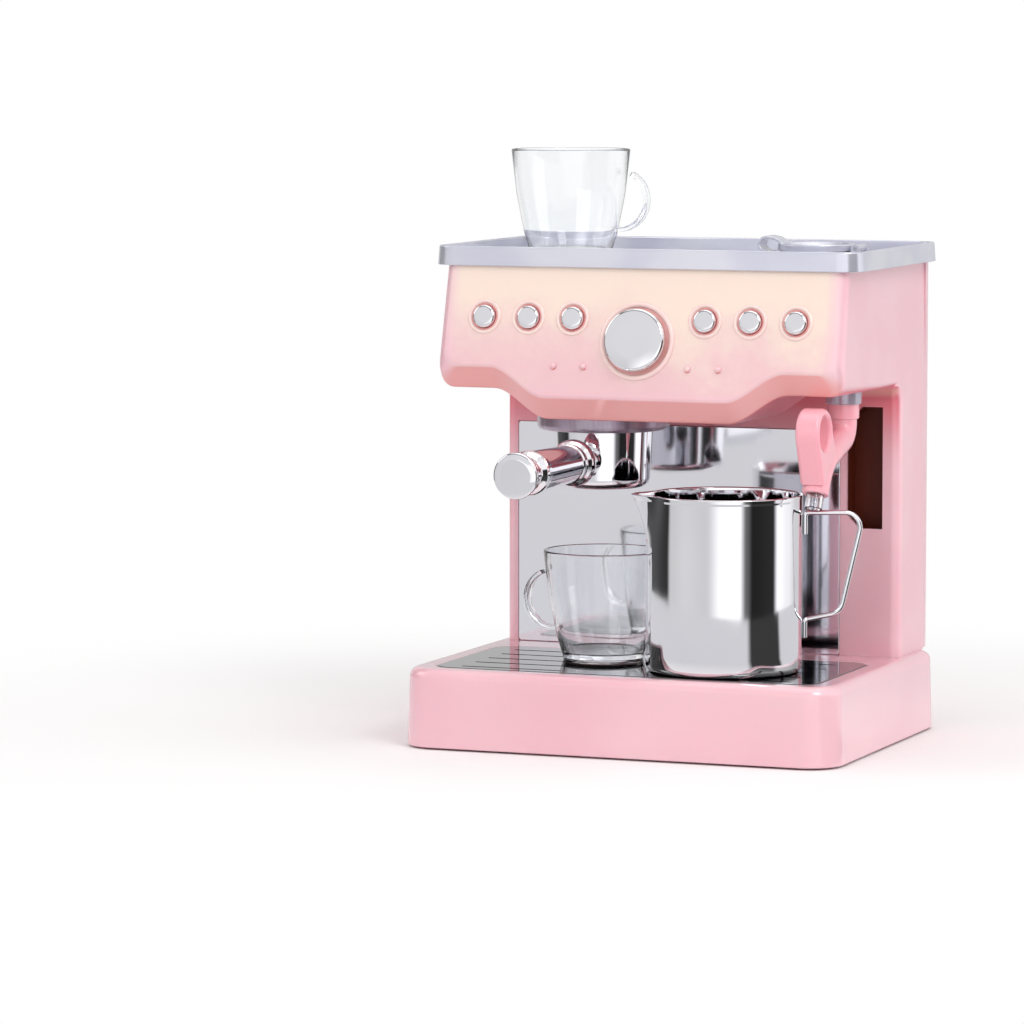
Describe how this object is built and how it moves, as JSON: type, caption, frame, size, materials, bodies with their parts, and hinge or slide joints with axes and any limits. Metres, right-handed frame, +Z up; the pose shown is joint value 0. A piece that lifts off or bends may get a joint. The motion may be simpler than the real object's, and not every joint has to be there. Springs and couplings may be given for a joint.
{
  "type": "toy espresso machine",
  "caption": "Battery toy espresso machine with push buttons, dial, mist tank, swinging steam wand, bayonet portafilter, milk pitcher and clear cups.",
  "frame": {"origin": "centre of the base on the surface that the machine stands on", "axes": "+Z up, +X to the right of a child facing the machine, -Y towards the child"},
  "size_m": [0.256, 0.2575, 0.3323],
  "materials": {
    "pink_pearl": "pearl gloss",
    "pink_plain": "satin",
    "rim_silver": "silver pearl",
    "group_pearl": "purple-grey pearl",
    "socket_grey": "satin",
    "plate_black": "high gloss",
    "mirror": "mirrored film",
    "brown_dark": "satin",
    "chrome_plated": "plated, mirror bright",
    "clear": "clear polystyrene",
    "rubber_grey": "matte",
    "seal_white": "matte",
    "board_green": "solder mask",
    "white_plastic": "satin",
    "black_plastic": "satin",
    "brass": "plain",
    "steel": "plated",
    "cell": "printed sleeve"
  },
  "bodies": {
    "machine": {"base_shell": "pink_pearl", "base_pan": "pink_plain", "rubber_feet": "rubber_grey", "drip_plate": "plate_black", "battery_door": "pink_plain", "door_screw": "steel", "batteries": "cell", "battery_contacts": "steel", "body_housing": "pink_pearl", "rear_cover": "pink_pearl", "rear_screws": "steel", "base_screws": "steel", "mirror_panel": "mirror", "window_liner": "brown_dark", "cup_tray": "rim_silver", "water_tank": "clear", "mist_seal": "rubber_grey", "mist_disc": "brass", "mist_duct": "white_plastic", "wand_socket": "socket_grey", "group_head": "group_pearl", "shower_screen": "chrome_plated", "main_board": "board_green", "speaker": "black_plastic", "switch_board": "board_green", "keypad_membrane": "rubber_grey", "dial_encoder": "black_plastic", "lid_pin": "steel"},
    "dial": {"dial": "chrome_plated"},
    "button_1": {"button_1": "chrome_plated"},
    "button_2": {"button_2": "chrome_plated"},
    "button_3": {"button_3": "chrome_plated"},
    "button_4": {"button_4": "chrome_plated"},
    "button_5": {"button_5": "chrome_plated"},
    "button_6": {"button_6": "chrome_plated"},
    "tank_lid": {"tank_lid": "rim_silver", "lid_seal": "seal_white"},
    "portafilter": {"portafilter_basket": "chrome_plated", "portafilter_handle": "chrome_plated"},
    "steam_wand": {"wand_pipe": "pink_pearl", "wand_tube": "clear"},
    "pitcher": {"pitcher_body": "chrome_plated", "pitcher_handle": "steel"},
    "brew_cup": {"brew_cup": "clear"},
    "tray_cup": {"tray_cup": "clear"}
  },
  "joints": [
    {"name": "dial_turn", "type": "hinge", "parent": "machine", "child": "dial", "pos_m": [0, -0.06063, 0.2284], "axis": [0, -0.9774, 0.2113], "continuous": true},
    {"name": "button_1_press", "type": "slide", "parent": "machine", "child": "button_1", "axis": [0, 0.9774, -0.2113], "range_m": [0, 0.0018], "stiffness_N_per_m": 600, "springref_m": -0.001},
    {"name": "button_2_press", "type": "slide", "parent": "machine", "child": "button_2", "axis": [0, 0.9774, -0.2113], "range_m": [0, 0.0018], "stiffness_N_per_m": 600, "springref_m": -0.001},
    {"name": "button_3_press", "type": "slide", "parent": "machine", "child": "button_3", "axis": [0, 0.9774, -0.2113], "range_m": [0, 0.0018], "stiffness_N_per_m": 600, "springref_m": -0.001},
    {"name": "button_4_press", "type": "slide", "parent": "machine", "child": "button_4", "axis": [0, 0.9774, -0.2113], "range_m": [0, 0.0018], "stiffness_N_per_m": 600, "springref_m": -0.001},
    {"name": "button_5_press", "type": "slide", "parent": "machine", "child": "button_5", "axis": [0, 0.9774, -0.2113], "range_m": [0, 0.0018], "stiffness_N_per_m": 600, "springref_m": -0.001},
    {"name": "button_6_press", "type": "slide", "parent": "machine", "child": "button_6", "axis": [0, 0.9774, -0.2113], "range_m": [0, 0.0018], "stiffness_N_per_m": 600, "springref_m": -0.001},
    {"name": "lid_swing", "type": "hinge", "parent": "machine", "child": "tank_lid", "pos_m": [0.101, 0.0255, 0.278], "axis": [0, 1, 0], "range_deg": [0, 110]},
    {"name": "portafilter_turn", "type": "hinge", "parent": "machine", "child": "portafilter", "pos_m": [-0.036, -0.017, 0.18], "axis": [0, 0, 1], "range_deg": [-45, 0]},
    {"name": "wand_swivel", "type": "hinge", "parent": "machine", "child": "steam_wand", "pos_m": [0.103, -0.0075, 0.2], "axis": [0, 0, 1], "range_deg": [0, 95]},
    {"name": "pitcher_away", "type": "slide", "parent": "machine", "child": "pitcher", "axis": [0, -1, 0], "range_m": [0, 0.16]},
    {"name": "brew_cup_away", "type": "slide", "parent": "machine", "child": "brew_cup", "axis": [0, -1, 0], "range_m": [0, 0.18]},
    {"name": "tray_cup_lift", "type": "slide", "parent": "machine", "child": "tray_cup", "axis": [0, 0, 1], "range_m": [0, 0.08]}
  ]
}
